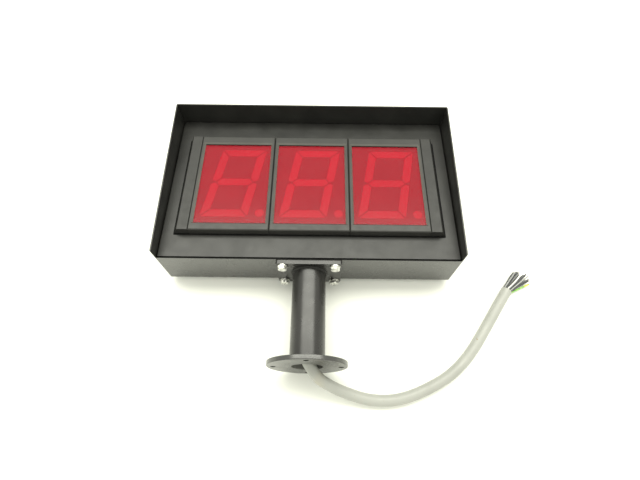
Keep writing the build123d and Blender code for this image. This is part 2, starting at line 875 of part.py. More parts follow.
def make_tube_along(name, route, diameter):
    """Round cable of straight runs joined by tangent arcs."""
    radii = corner_radii(route)
    with BuildPart() as cable:
        with BuildLine():
            path = FilletPolyline(*route, radius=radii)
        with BuildSketch(Plane(origin=route[0], z_dir=Vector(*route[1]) - Vector(*route[0]))):
            Circle(diameter / 2)
        sweep(path=path)
    section = pi * diameter**2 / 4
    print(name, "radii", [round(r, 1) for r in radii])
    filled = cable.part.volume / section / path.length
    print(name, "length", round(path.length, 1), "volume ratio", round(filled, 4))
    keep(cable, name)


def end_frame():
    """Directions at the cable's bare end: along it, to its left on the ground, and up."""
    along = (Vector(*cable_route[-1]) - Vector(*cable_route[-2])).normalized()
    left = Vector(0, 0, 1).cross(along).normalized()
    return along, left, along.cross(left)


def core_rows():
    """Where each thin core lies in the sheath, to the left and upward of the cable's middle."""
    packed = []
    for ring, count in core_rings:
        for index in range(count):
            turn = 2 * pi * (index + 0.5) / count
            packed.append((ring * cos(turn), ring * sin(turn)))
    return packed


def make_core(start, tip):
    """One straight insulated core that starts flat on the end of the sheath."""
    way = tip - start
    with BuildPart(mode=Mode.PRIVATE) as core:
        with BuildSketch(Plane(origin=start, z_dir=end_frame()[0])):
            Circle(core_diameter / 2)
        extrude(amount=way.length, dir=way.normalized())
    return core.part


def core_tip(side, height, reach):
    """Place in the fan of cores, given how far out, up and along it lies."""
    along, left, up = end_frame()
    return Vector(*cable_route[-1]) + along * reach + left * side + up * height


def make_cable_cores():
    """The numbered cores past the sheath's end: a straight left bunch and a right bunch that fans out."""
    with BuildPart() as cores:
        for side, height in core_rows():
            if abs(side) < 1.2:
                continue
            tip_side = 2.7 * side - 7.5 if side > 0 else 3.5 * side - 2.4
            add(make_core(core_tip(side, height, 0), core_tip(tip_side, 1.05 * height, 30.5)))
    keep(cores, "cable_cores")


def make_white_core():
    """A pair of wrapped white fillers between the two bunches."""
    with BuildPart() as white:
        for height in (-2.2, 2.2):
            add(make_core(core_tip(-0.3, height, 0), core_tip(-5.4, height, 31.5)))
    keep(white, "white_core")


def make_earth_core():
    """The earth core, bent furthest to the right."""
    with BuildPart() as earth:
        add(make_core(core_tip(-5.4, -2.6, 0), core_tip(-20.5, -2.8, 27.0)))
    keep(earth, "earth_core")


def make_inside_cores():
    """Cores inside the case, from the end of the sheath to the terminal block."""
    places = core_rows()
    sheath_end = inner_route[0]
    order = sorted(range(len(places)), key=lambda k: places[k][0])
    block_face = terminal_y - terminal_depth / 2
    with BuildPart() as cores:
        for way, k in enumerate(order):
            dx, dz = places[k]
            start = Vector(sheath_end[0] + dx, sheath_end[1], sheath_end[2] + dz)
            finish = Vector(terminal_x(way), block_face + 5, entry_z)
            mouth = Vector(terminal_x(way), block_face - 6, entry_z)
            route = [start, start + Vector(0, 4, 0), mouth, finish]
            with BuildPart(mode=Mode.PRIVATE) as core:
                with BuildLine():
                    path = FilletPolyline(*route, radius=[3.0, 3.0])
                with BuildSketch(Plane(origin=start, z_dir=(0, 1, 0))):
                    Circle(0.6)
                sweep(path=path)
            add(core.part)
    keep(cores, "inside_cores")


def make_earth_lead():
    """Earth conductor from the sheath's end to a ring on the stud."""
    sheath_end = inner_route[0]
    start = Vector(sheath_end[0] + 2.0, sheath_end[1], sheath_end[2] - 5.7)
    ring_z = back + sheet
    route = [start, start + Vector(0, 5, 0), (22, -8, 26), (50, -10, ring_z + 2), (58.5, -21.5, ring_z + 0.5)]
    with BuildPart() as lead:
        with BuildLine():
            path = FilletPolyline(*route, radius=[3.0, 6.0, 4.0])
        with BuildSketch(Plane(origin=start, z_dir=(0, 1, 0))):
            Circle(0.5)
        sweep(path=path)
        with BuildSketch(Plane.XY.offset(back + sheet)):
            with Locations((earth_stud_x, earth_stud_y)):
                Circle(6.0)
                Circle(bolt_size / 2 + 0.2, mode=Mode.SUBTRACT)
            with Locations((earth_stud_x - 1, earth_stud_y + 7)):
                Rectangle(4, 4)
        extrude(amount=0.9)
    keep(lead, "earth_lead")


# ---------------------------------------------------------------- make everything

make_housing_shell()
make_panel_ledges()
make_panel_clips()
make_front_panel()
make_row_gasket()
for module, place in zip(module_names, module_places):
    make_bezel(module, place)
    make_filter(module, place)
    make_digit_body(module, place)
    make_segments(module, place)
    make_leds(module, place)
    make_digit_board(module, place)
    make_ribbon(module, place)
make_end_strip("left", -1)
make_end_strip("right", 1)
make_pan_screws("module_screws", module_screw_places(), panel_back, module_screw, 7.0, 5.0, 2.0)
make_pan_screws("digit_screws", digit_screw_places(), board_back, 2.0, 7.0, 4.0, 1.6)
make_digit_headers()
make_driver_board()
make_standoffs()
make_driver_screws()
make_driver_chips()
make_capacitors()
make_power_module()
make_terminal_block()
make_terminal_screws()
make_board_headers()
make_earth_stud()
make_earth_nut()
make_cable_gland()
make_gland_nut()
make_gland_cap()
make_gland_seal()
make_post_plate()
make_post_tube()
make_post_flange()
make_weld_beads()
make_plate_bolts()
make_plate_washers()
make_plate_nuts()
make_tube_along("cable_inner", inner_route, cable_diameter)
make_tube_along("cable", cable_route, cable_diameter)
make_cable_cores()
make_white_core()
make_earth_core()
make_inside_cores()
make_earth_lead()
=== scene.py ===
"""Looks for the three-digit display in its hooded case: materials, mesh work, cable, floor, light and camera.

Everything is in metres, in the part's own frame: +X right, +Y up the display, +Z out of the digits.
"""

import random
from math import cos, pi, radians, sin

import bmesh
import bpy
from mathutils import Euler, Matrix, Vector


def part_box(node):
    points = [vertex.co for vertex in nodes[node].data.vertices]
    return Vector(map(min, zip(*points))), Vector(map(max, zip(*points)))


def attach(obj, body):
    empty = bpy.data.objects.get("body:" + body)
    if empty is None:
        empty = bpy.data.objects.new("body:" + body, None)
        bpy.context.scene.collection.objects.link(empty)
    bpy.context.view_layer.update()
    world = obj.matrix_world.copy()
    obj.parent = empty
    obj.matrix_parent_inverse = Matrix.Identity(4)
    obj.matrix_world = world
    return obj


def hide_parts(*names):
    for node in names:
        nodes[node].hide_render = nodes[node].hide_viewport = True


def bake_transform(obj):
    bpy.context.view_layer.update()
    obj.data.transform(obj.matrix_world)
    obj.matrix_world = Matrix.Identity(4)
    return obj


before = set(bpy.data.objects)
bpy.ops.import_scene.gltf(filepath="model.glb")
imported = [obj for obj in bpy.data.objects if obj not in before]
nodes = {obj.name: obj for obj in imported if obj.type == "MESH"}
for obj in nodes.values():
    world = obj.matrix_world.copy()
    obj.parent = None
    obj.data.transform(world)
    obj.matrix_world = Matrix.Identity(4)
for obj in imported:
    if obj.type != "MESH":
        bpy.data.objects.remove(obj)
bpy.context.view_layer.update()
scene = bpy.context.scene
scene.view_settings.view_transform = "Standard"
MM = 0.001
SIDES = ("left", "middle", "right")
rng = random.Random(7)


# ---------------------------------------------------------------- camera


def make_camera():
    """Wide camera above and in front of the post, looking down at the display."""
    data = bpy.data.cameras.new("camera")
    data.sensor_width = 36.0
    data.lens = 22.85
    data.clip_start = 0.01
    camera = bpy.data.objects.new("camera", data)
    camera.location = (0.0128, -0.2408, 0.5056)
    pitch, roll, yaw = radians(26.97), radians(-0.29), radians(0.62)
    camera.rotation_euler = Euler((pitch, roll, yaw))
    scene.collection.objects.link(camera)
    scene.camera = camera


# ---------------------------------------------------------------- materials


# Numbers of the colour mixing node's sockets.
MIX_BASE, MIX_OVER, MIX_RESULT = 6, 7, 2


class Finish:
    """One node material, built from a Principled shader."""

    def __init__(self, name, colour, roughness, **sockets):
        self.material = bpy.data.materials.new(name)
        self.material.use_nodes = True
        self.tree = self.material.node_tree
        self.shader = self.tree.nodes["Principled BSDF"]
        self.shader.inputs["Base Color"].default_value = (*colour, 1.0)
        self.shader.inputs["Roughness"].default_value = roughness
        for socket, value in sockets.items():
            self.shader.inputs[socket.replace("_", " ")].default_value = value
        self.place = self.node("ShaderNodeTexCoord").outputs["Object"]
        self.height = None

    def node(self, kind, **settings):
        made = self.tree.nodes.new(kind)
        for key, value in settings.items():
            setattr(made, key, value)
        return made

    def link(self, source, target):
        self.tree.links.new(source, target)

    def noise(self, scale, detail=3.0, stretch=None):
        """Noise over the object's own coordinates; scale is in features to the metre."""
        texture = self.node("ShaderNodeTexNoise")
        texture.inputs["Scale"].default_value = scale
        texture.inputs["Detail"].default_value = detail
        place = self.place
        if stretch:
            mapping = self.node("ShaderNodeMapping")
            mapping.inputs["Scale"].default_value = stretch
            self.link(self.place, mapping.inputs["Vector"])
            place = mapping.outputs["Vector"]
        self.link(place, texture.inputs["Vector"])
        return texture.outputs["Fac"]

    def ramp(self, factor, stops):
        """Colour ramp with (place, colour) stops."""
        ramp = self.node("ShaderNodeValToRGB")
        elements = ramp.color_ramp.elements
        while len(elements) < len(stops):
            elements.new(0.5)
        for element, (place, colour) in zip(elements, stops):
            element.position = place
            element.color = (*colour, 1.0)
        self.link(factor, ramp.inputs["Fac"])
        return ramp.outputs["Color"]

    def spread(self, factor, low, high, start=0.3, end=0.7):
        """The factor, stretched from start..end to low..high."""
        mapped = self.node("ShaderNodeMapRange")
        mapped.inputs["From Min"].default_value = start
        mapped.inputs["From Max"].default_value = end
        mapped.inputs["To Min"].default_value = low
        mapped.inputs["To Max"].default_value = high
        self.link(factor, mapped.inputs["Value"])
        return mapped.outputs["Result"]

    def colour(self, source):
        self.link(source, self.shader.inputs["Base Color"])

    def roughness(self, source):
        self.link(source, self.shader.inputs["Roughness"])

    def mix(self, base, over, factor):
        """The base, turned to the other colour where the factor is high."""
        node = self.node("ShaderNodeMix", data_type="RGBA")
        self.link(factor, node.inputs["Factor"])
        self.link(base, node.inputs[MIX_BASE])
        node.inputs[MIX_OVER].default_value = (*over, 1.0)
        return node.outputs[MIX_RESULT]

    def add_share(self, base, extra, share):
        """The base factor plus a share of another one."""
        node = self.node("ShaderNodeMath", operation="MULTIPLY_ADD")
        self.link(extra, node.inputs[0])
        node.inputs[1].default_value = share
        self.link(base, node.inputs[2])
        return node.outputs["Value"]

    def bump(self, factor, depth):
        """Adds relief of the given depth in metres; several are chained."""
        node = self.node("ShaderNodeBump")
        node.inputs["Distance"].default_value = depth
        node.inputs["Strength"].default_value = 1.0
        self.link(factor, node.inputs["Height"])
        if self.height:
            self.link(self.height, node.inputs["Normal"])
        self.height = node.outputs["Normal"]
        self.link(self.height, self.shader.inputs["Normal"])

    def worn(self, base, edge, radius):
        """Base colour that turns half way to the edge colour along sharp edges, in broken patches."""
        rounded = self.node("ShaderNodeBevel", samples=4)
        rounded.inputs["Radius"].default_value = radius
        geometry = self.node("ShaderNodeNewGeometry")
        likeness = self.node("ShaderNodeVectorMath", operation="DOT_PRODUCT")
        self.link(rounded.outputs["Normal"], likeness.inputs[0])
        self.link(geometry.outputs["Normal"], likeness.inputs[1])
        wear = self.spread(likeness.outputs["Value"], low=0.5, high=0.0, start=0.90, end=0.985)
        broken = self.spread(self.noise(230.0, 4.0), low=0.0, high=1.0, start=0.42, end=0.6)
        mask = self.node("ShaderNodeMath", operation="MULTIPLY")
        self.link(wear, mask.inputs[0])
        self.link(broken, mask.inputs[1])
        self.colour(self.mix(base, edge, mask.outputs["Value"]))


def paint(name, dark, light, rough, grain=1.0, gloss=0.5):
    """Semi-gloss black coat: orange peel, an uneven tone and slightly worn edges."""
    finish = Finish(name, dark, rough[0], Specular_IOR_Level=gloss)
    base = finish.ramp(finish.noise(34.0, 5.0), [(0.3, dark), (0.72, light)])
    finish.worn(base, edge=(0.09, 0.09, 0.085), radius=0.7 * MM)
    finish.roughness(finish.spread(finish.noise(60.0, 4.0), *rough))
    finish.bump(finish.noise(900.0, 2.0), depth=0.04 * MM * grain)
    finish.bump(finish.noise(2600.0, 2.0), depth=0.015 * MM * grain)
    return finish.material


def moulding(name, dark, light, rough, grain=2200.0, depth=0.03 * MM, gloss=0.5):
    """Fine-textured moulded plastic."""
    finish = Finish(name, dark, rough, Specular_IOR_Level=gloss)
    finish.colour(finish.ramp(finish.noise(45.0, 4.0), [(0.3, dark), (0.7, light)]))
    finish.roughness(finish.spread(finish.noise(120.0, 3.0), low=rough - 0.06, high=rough + 0.08))
    finish.bump(finish.noise(grain, 2.0), depth)
    return finish.material


def metal(name, dark, light, rough, grain=(1, 1, 1)):
    """Plated or turned metal; its streaks run across the axis that grain squeezes."""
    scale = 700.0
    finish = Finish(name, dark, rough, Metallic=1.0)
    streaks = finish.noise(scale, 4.0, stretch=grain)
    finish.colour(finish.ramp(streaks, [(0.3, dark), (0.7, light)]))
    finish.roughness(finish.spread(finish.noise(scale * 0.5, 4.0), low=rough - 0.08, high=rough + 0.14))
    finish.bump(streaks, depth=0.02 * MM)
    return finish.material


def acrylic():
    """Red filter sheet: see-through enough to show the segments, with faint ruled lines of its film."""
    deep, bright = (0.34, 0.006, 0.017), (0.38, 0.008, 0.020)
    finish = Finish("red_acrylic", deep, 0.14, Alpha=0.4, Specular_IOR_Level=0.4)
    lines = finish.node("ShaderNodeTexWave", wave_type="BANDS", bands_direction="Y")
    lines.inputs["Scale"].default_value = 160.0
    lines.inputs["Distortion"].default_value = 0.6
    finish.link(finish.place, lines.inputs["Vector"])
    tone = finish.add_share(finish.noise(22.0, 3.0), lines.outputs["Fac"], share=0.06)
    finish.colour(finish.ramp(tone, [(0.3, deep), (0.85, bright)]))
    finish.roughness(finish.spread(finish.noise(90.0, 4.0), low=0.15, high=0.18))
    return finish.material


def diffuser():
    """Milky red epoxy of the segments, mottled in cells about as wide as the gaps between the lamps."""
    bright, deep = (0.74, 0.008, 0.038), (0.66, 0.007, 0.032)
    finish = Finish("segment_epoxy", bright, 0.4)
    cells = finish.node("ShaderNodeTexVoronoi", feature="F1")
    cells.inputs["Scale"].default_value = 95.0
    finish.link(finish.place, cells.inputs["Vector"])
    tone = finish.add_share(finish.noise(120.0, 3.0), cells.outputs["Distance"], share=0.35)
    finish.colour(finish.ramp(tone, [(0.35, bright), (0.9, deep)]))
    finish.bump(finish.noise(1500.0, 2.0), depth=0.02 * MM)
    return finish.material


def sheath():
    """Grey PVC sheath, a little uneven, with brownish stains and a few dark specks."""
    pale, deep = (0.36, 0.365, 0.335), (0.30, 0.305, 0.28)
    stain, speck = (0.46, 0.40, 0.27), (0.25, 0.20, 0.13)
    finish = Finish("cable_sheath", pale, 0.42)
    base = finish.ramp(finish.noise(26.0, 5.0), [(0.3, deep), (0.7, pale)])
    stained = finish.spread(finish.noise(17.0, 2.0), low=0.0, high=0.6, start=0.66, end=0.80)
    specks = finish.spread(finish.noise(330.0, 1.0), low=0.0, high=1.0, start=0.745, end=0.79)
    finish.colour(finish.mix(finish.mix(base, stain, stained), speck, specks))
    finish.roughness(finish.spread(finish.noise(80.0, 5.0), low=0.34, high=0.55))
    finish.bump(finish.noise(140.0, 3.0), depth=0.3 * MM)
    finish.bump(finish.noise(1800.0, 2.0), depth=0.02 * MM)
    return finish.material


def striped(name, first, second, scale):
    """Insulation with slanted stripes or printed ticks."""
    finish = Finish(name, first, 0.42)
    bands = finish.node("ShaderNodeTexWave", wave_type="BANDS", bands_direction="DIAGONAL")
    bands.inputs["Scale"].default_value = scale
    bands.inputs["Distortion"].default_value = 1.5
    finish.link(finish.place, bands.inputs["Vector"])
    finish.colour(finish.ramp(bands.outputs["Fac"], [(0.45, first), (0.6, second)]))
    finish.bump(finish.noise(1200.0, 2.0), depth=0.02 * MM)
    return finish.material


def board():
    """Green solder resist in two tones, with lighter tracks between."""
    finish = Finish("circuit_board", (0.02, 0.12, 0.05), 0.32)
    tracks = finish.node("ShaderNodeTexBrick")
    tracks.inputs["Scale"].default_value = 60.0
    tracks.inputs["Mortar Size"].default_value = 0.03
    tracks.inputs["Color1"].default_value = (0.02, 0.13, 0.05, 1)
    tracks.inputs["Color2"].default_value = (0.02, 0.10, 0.045, 1)
    tracks.inputs["Mortar"].default_value = (0.05, 0.24, 0.10, 1)
    finish.link(finish.place, tracks.inputs["Vector"])
    finish.colour(tracks.outputs["Color"])
    finish.roughness(finish.spread(finish.noise(200.0, 3.0), low=0.25, high=0.4))
    finish.bump(tracks.outputs["Fac"], depth=0.04 * MM)
    return finish.material


def floor_finish():
    """Matt white table top."""
    dull, bright = (0.86, 0.87, 0.82), (0.89, 0.90, 0.85)
    finish = Finish("table_white", dull, 0.7, Specular_IOR_Level=0.2)
    finish.colour(finish.ramp(finish.noise(3.0, 4.0), [(0.3, dull), (0.7, bright)]))
    finish.bump(finish.noise(500.0, 2.0), depth=0.02 * MM)
    return finish.material


PAINT = paint("black_coat", (0.010, 0.010, 0.009), (0.018, 0.018, 0.016), rough=(0.36, 0.46))
POST_PAINT = paint(
    "post_coat", (0.009, 0.009, 0.008), (0.016, 0.015, 0.014), rough=(0.25, 0.33), grain=0.7, gloss=0.56
)
# Glossier, slightly lighter coat of the bolt flange; on the outside of the case's bottom wall it is a painted
# sheen.
FLANGE_COAT_AND_WALL_SHEEN = paint(
    "flange_coat_and_painted_sheen", (0.014, 0.014, 0.012), (0.022, 0.022, 0.019), rough=(0.22, 0.30), grain=0.7, gloss=0.95
)
# The black coat a shade darker and duller on the welds: painted shade, as under the plate's edge.
SHADED_WELD_COAT = paint("weld_coat_painted_shade", (0.007, 0.007, 0.006), (0.012, 0.012, 0.011), rough=(0.5, 0.6), gloss=0.3)
BEZEL = moulding("black_moulding", (0.018, 0.018, 0.016), (0.026, 0.026, 0.023), 0.45)
STRIP = moulding(
    "strip_moulding", (0.012, 0.012, 0.011), (0.018, 0.018, 0.016), 0.5, grain=1300.0, depth=0.06 * MM
)
FILTER = acrylic()
SEGMENT = diffuser()
DIGIT_FACE = moulding("digit_face", (0.08, 0.008, 0.014), (0.10, 0.010, 0.016), 0.6)
LAMP = moulding("lamp_epoxy", (0.55, 0.02, 0.03), (0.65, 0.03, 0.04), 0.2)
BOARD = board()
CHIP = moulding("chip_moulding", (0.012, 0.012, 0.013), (0.02, 0.02, 0.021), 0.45)
NYLON = moulding("nylon", (0.018, 0.018, 0.019), (0.028, 0.028, 0.029), 0.4, grain=900.0)
# Near-black rubber: the gland seal's own colour, and also painted shade and shadow on the bolt hole walls,
# the bottom wall's top edge, the window slots and the gasket under the module row.
RUBBER_AND_PAINTED_SHADE = moulding("soft_rubber_and_painted_shade", (0.003, 0.003, 0.003), (0.006, 0.006, 0.006), 0.85, grain=700.0, gloss=0.12)
TERMINAL = moulding("terminal_moulding", (0.02, 0.16, 0.05), (0.03, 0.20, 0.07), 0.4)
SLEEVE = moulding("capacitor_sleeve", (0.012, 0.018, 0.07), (0.02, 0.03, 0.10), 0.3)
RIBBON = striped("ribbon_insulation", (0.35, 0.35, 0.36), (0.28, 0.28, 0.29), scale=400.0)
ZINC = metal("zinc_plate", (0.62, 0.62, 0.58), (0.80, 0.80, 0.76), 0.26)
SPRING = metal("spring_steel", (0.40, 0.41, 0.43), (0.52, 0.53, 0.55), 0.3, grain=(1, 1, 12))
BRASS = metal("turned_brass", (0.60, 0.42, 0.16), (0.72, 0.54, 0.24), 0.25, grain=(1, 1, 14))
COPPER = metal("bare_copper", (0.62, 0.30, 0.16), (0.80, 0.42, 0.26), 0.3)
SHEATH = sheath()
CORE_DARK = striped("core_dark", (0.012, 0.013, 0.015), (0.10, 0.105, 0.11), scale=260.0)
CORE_PALE = striped("core_pale", (0.50, 0.50, 0.48), (0.12, 0.125, 0.13), scale=240.0)
CORE_WHITE = striped("core_white", (0.82, 0.82, 0.78), (0.72, 0.72, 0.68), scale=120.0)
CORE_EARTH = striped("core_earth", (0.16, 0.45, 0.07), (0.30, 0.58, 0.09), scale=70.0)
CORE_YELLOW = striped("core_yellow", (0.62, 0.58, 0.06), (0.45, 0.52, 0.07), scale=60.0)
# Lighter grey for the inside of the tube: painted light falling into its mouth.
BORE_PAINTED_LIGHT = moulding("bore_painted_light", (0.10, 0.10, 0.09), (0.16, 0.16, 0.145), 0.55, grain=900.0)
# Lighter moulding for the window slopes: a painted highlight where they catch the light.
LIP_PAINTED_HIGHLIGHT = moulding("lip_painted_highlight", (0.075, 0.075, 0.065), (0.095, 0.095, 0.085), 0.4)


# ---------------------------------------------------------------- mesh helpers


def settle(obj, node_names, body, material=None):
    """Gives a finished piece its finish, its body and the CAD nodes it stands for."""
    if material:
        obj.data.materials.clear()
        obj.data.materials.append(material)
    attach(obj, body)
    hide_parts(*node_names)
    return obj


def add_looks(obj, *materials):
    """Adds materials to a piece and returns the numbers that they have there."""
    first = len(obj.data.materials)
    for material in materials:
        obj.data.materials.append(material)
    return range(first, len(obj.data.materials))


def bridge(bm, first, second, closed=True, index=0):
    """Faces between two rows of vertices; closed rows are rings."""
    count = len(first)
    for k in range(count if closed else count - 1):
        ahead = (k + 1) % count
        bm.faces.new((first[k], first[ahead], second[ahead], second[k])).material_index = index


def on_circle(centre, radius, y, angle):
    """Point on a circle round a line along Y."""
    return Vector((centre.x + radius * cos(angle), y, centre.z + radius * sin(angle)))


def new_object(name, bm):
    """Object made from a bmesh, shaded smooth."""
    bmesh.ops.recalc_face_normals(bm, faces=bm.faces)
    data = bpy.data.meshes.new(name)
    bm.to_mesh(data)
    bm.free()
    for face in data.polygons:
        face.use_smooth = True
    obj = bpy.data.objects.new(name, data)
    scene.collection.objects.link(obj)
    return obj


def apply_modifiers(obj):
    """Bakes the modifiers into the mesh."""
    bpy.context.view_layer.update()
    evaluated = obj.evaluated_get(bpy.context.evaluated_depsgraph_get())
    data = bpy.data.meshes.new_from_object(evaluated)
    obj.modifiers.clear()
    obj.data = data


def soften(node, name, body, material, width, segments=2):
    """Copy of a CAD node whose sharp edges are rounded, so that they catch the light."""
    bm = bmesh.new()
    bm.from_mesh(nodes[node].data)
    bmesh.ops.remove_doubles(bm, verts=bm.verts, dist=0.001 * MM)
    bmesh.ops.dissolve_limit(bm, angle_limit=radians(0.6), verts=bm.verts, edges=bm.edges)
    obj = new_object(name, bm)
    bevel = obj.modifiers.new("round", "BEVEL")
    bevel.width = width
    bevel.segments = segments
    bevel.limit_method = "ANGLE"
    bevel.angle_limit = radians(32)
    bevel.harden_normals = True
    bevel.use_clamp_overlap = True
    weighted = obj.modifiers.new("normals", "WEIGHTED_NORMAL")
    weighted.keep_sharp = True
    apply_modifiers(obj)
    return settle(obj, [node], body, material)


def add_tube(bm, points, radius, sides=12, index=0):
    """Closed round tube along points, added to a bmesh."""
    rings = []
    side = None
    for k, point in enumerate(points):
        ahead = points[min(k + 1, len(points) - 1)]
        behind = points[max(k - 1, 0)]
        along = (ahead - behind).normalized()
        if side is None:
            side = along.orthogonal().normalized()
        side = (side - along * side.dot(along)).normalized()
        across = along.cross(side)
        turns = [2 * pi * j / sides for j in range(sides)]
        rings.append([bm.verts.new(point + (side * cos(a) + across * sin(a)) * radius) for a in turns])
    for first, second in zip(rings, rings[1:]):
        bridge(bm, first, second, index=index)
    for ring in (rings[0], rings[-1]):
        bm.faces.new(ring).material_index = index


# ---------------------------------------------------------------- cable

CABLE_DIAMETER = 0.013
# The cable's middle line, from the flange's opening to the bare end of its sheath.
CABLE_ROUTE = [
    (0.0043, -0.163, 0.0413),
    (0.0104, -0.1717, 0.0356),
    (0.0223, -0.1782, 0.0254),
    (0.0425, -0.1856, 0.0144),
    (0.072, -0.1932, 0.0072),
    (0.1043, -0.1928, 0.0065),
    (0.1373, -0.1812, 0.0065),
    (0.1693, -0.1642, 0.0065),
    (0.1946, -0.1405, 0.0074),
    (0.2153, -0.1128, 0.0087),
    (0.235, -0.0845, 0.0099),
    (0.2536, -0.0586, 0.011),
]

# The cores' sizes and places past the sheath are in millimetres: side, height and reach as at_end takes them.
CORE_START = -0.2
CORE_RADIUS, WHITE_RADIUS, EARTH_RADIUS = 0.84, 1.15, 0.95
CORE_RINGS = ((4.75, 15), (3.1, 10), (1.5, 4))
# Each bunch: how far its cores splay and lean, and how much their tips stray to the side; then the reach of
# its longest core, how fast the others shorten away from that one's side, and how much they vary.
LEFT_BUNCH = dict(splay=1.8, lean=-4.9, stray=0.3, reach=30.6, taper=0.35, longest=0.0, vary=(-3.0, 1.0))
RIGHT_BUNCH = dict(splay=2.2, lean=-6.8, stray=0.4, reach=33.0, taper=0.25, longest=-8.0, vary=(-2.4, 0.4))
LOWEST_TIP = -4.6


def end_frame():
    """Directions at the sheath's bare end: along it, to its left on the table, and up."""
    along = (Vector(CABLE_ROUTE[-1]) - Vector(CABLE_ROUTE[-2])).normalized()
    left = Vector((0, 0, 1)).cross(along).normalized()
    return along, left, along.cross(left)


def at_end(side, height, reach):
    """Point by the sheath's end: to its left, up from its middle and out along it, in millimetres."""
    along, left, up = end_frame()
    return Vector(CABLE_ROUTE[-1]) + (along * reach + left * side + up * height) * MM


def bent(start, handle, tip, wave=0.0):
    """Points along a curve from start to tip, given as (side, height, reach); wave bends it like an S."""
    steps = 12
    points = []
    for k in range(steps + 1):
        t = k / steps
        shares = ((1 - t) ** 2, 2 * t * (1 - t), t**2)
        side, height, reach = (sum(w * c for w, c in zip(shares, each)) for each in zip(start, handle, tip))
        points.append(at_end(side + wave * sin(2 * pi * t), height, reach))
    return points


def add_core(bm, path, radius, index, copper):
    """Insulated core with a short bare tip."""
    bare, sunk = 0.5 * MM, 0.2 * MM
    add_tube(bm, path, radius * MM, sides=10, index=index)
    way = (path[-1] - path[-2]).normalized()
    tip = [path[-1] - way * sunk, path[-1] + way * bare]
    add_tube(bm, tip, radius * 0.5 * MM, sides=8, index=copper)


def bunch_tip(bunch, side, height):
    """Where the core that leaves the sheath at this place ends; draws from the random numbers."""
    stray = bunch["stray"]
    tip_side = bunch["splay"] * side + bunch["lean"] + rng.uniform(-stray, stray)
    shortening = bunch["taper"] * abs(tip_side - bunch["longest"])
    reach = bunch["reach"] - shortening + rng.uniform(*bunch["vary"])
    tip_height = 1.05 * height + rng.uniform(-0.5, 0.6)
    return tip_side, max(tip_height, LOWEST_TIP), reach


def make_core_bunches():
    """Thin numbered cores in a left and a right bunch, each with a bare copper tip; fillers take the gap."""
    gap_side, gap_height = 0.7, 1.0
    bm = bmesh.new()
    for ring, count in CORE_RINGS:
        for j in range(count):
            turn = 2 * pi * (j + 0.5) / count
            side, height = ring * cos(turn), ring * sin(turn)
            if abs(side) < gap_side and abs(height) > gap_height:
                continue
            tip = bunch_tip(LEFT_BUNCH if side > 0 else RIGHT_BUNCH, side, height)
            handle = (side + 0.42 * (tip[0] - side), height * 1.05, tip[2] * 0.5)
            path = bent((side, height, CORE_START), handle, tip, wave=rng.uniform(-0.25, 0.25))
            pale = j % 4 == 1
            add_core(bm, path, CORE_RADIUS, index=1 if pale else 0, copper=2)
    obj = new_object("core_bunches", bm)
    add_looks(obj, CORE_DARK, CORE_PALE, COPPER)
    return settle(obj, ["cable_cores"], "case")


def make_white_fillers():
    """Two thicker white cores between the bunches."""
    bm = bmesh.new()
    for height, side in ((-2.0, 0.0), (2.6, 0.4)):
        handle, tip = (side - 5.2, height * 1.1, 16.0), (side - 5.5, height * 1.15, 31.8)
        add_tube(bm, bent((side, height, CORE_START), handle, tip), WHITE_RADIUS * MM)
    obj = new_object("white_fillers", bm)
    return settle(obj, ["white_core"], "case", CORE_WHITE)


def make_earth_tail():
    """The earth core, which splays furthest to the right, green and then yellow."""
    bm = bmesh.new()
    path = bent((-5.3, -2.2, CORE_START), (-16.2, -2.9, 19.9), (-20.6, -3.3, 26.4))
    change = 7
    add_tube(bm, path[: change + 1], EARTH_RADIUS * MM)
    add_core(bm, path[change:], EARTH_RADIUS, index=1, copper=2)
    obj = new_object("earth_tail", bm)
    add_looks(obj, CORE_EARTH, CORE_YELLOW, COPPER)
    return settle(obj, ["earth_core"], "case")


def make_cable():
    """The free cable as one smooth curve along its route."""
    curve = bpy.data.curves.new("control_cable", "CURVE")
    curve.dimensions = "3D"
    spline = curve.splines.new("NURBS")
    spline.points.add(len(CABLE_ROUTE) - 1)
    for point, place in zip(spline.points, CABLE_ROUTE):
        point.co = (*place, 1.0)
    spline.order_u = 3
    spline.use_endpoint_u = True
    spline.resolution_u = 12
    curve.bevel_depth = CABLE_DIAMETER / 2
    curve.bevel_resolution = 8
    curve.use_fill_caps = True
    curve.materials.append(SHEATH)
    obj = bpy.data.objects.new("control_cable", curve)
    scene.collection.objects.link(obj)
    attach(obj, "case")
    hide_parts("cable")
    make_core_bunches()
    make_white_fillers()
    make_earth_tail()


# ---------------------------------------------------------------- case, modules and post


def make_weld_beads():
    """Rippled fillet welds round both ends of the tube."""
    low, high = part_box("post_tube")
    middle = (low + high) / 2
    tube_radius = (high.x - low.x) / 2
    leg, sunk = 2.2 * MM, 0.3 * MM
    hollow, inset = 0.22, 0.98
    around, across = 144, 6
    bm = bmesh.new()
    for face_y, way in ((low.y, 1), (high.y, -1)):
        rings = []
        for j in range(around):
            turn = 2 * pi * j / around
            ripple, swell = 0.05 * sin(34 * turn), 0.04 * sin(5 * turn + 1.0)
            section = [(tube_radius - sunk, -sunk)]
            for k in range(across + 1):
                part = 0.5 * pi * k / across
                reach = leg * inset * (1.0 + ripple + swell) * (1.0 - hollow * sin(2 * part))
                section.append((tube_radius + reach * sin(part), reach * cos(part)))
            rings.append([bm.verts.new(on_circle(middle, r, face_y + way * y, turn)) for r, y in section])
        for first, second in zip(rings, rings[1:] + rings[:1]):
            bridge(bm, first, second)
    obj = new_object("weld_fillets", bm)
    return settle(obj, ["weld_beads"], "case", SHADED_WELD_COAT)


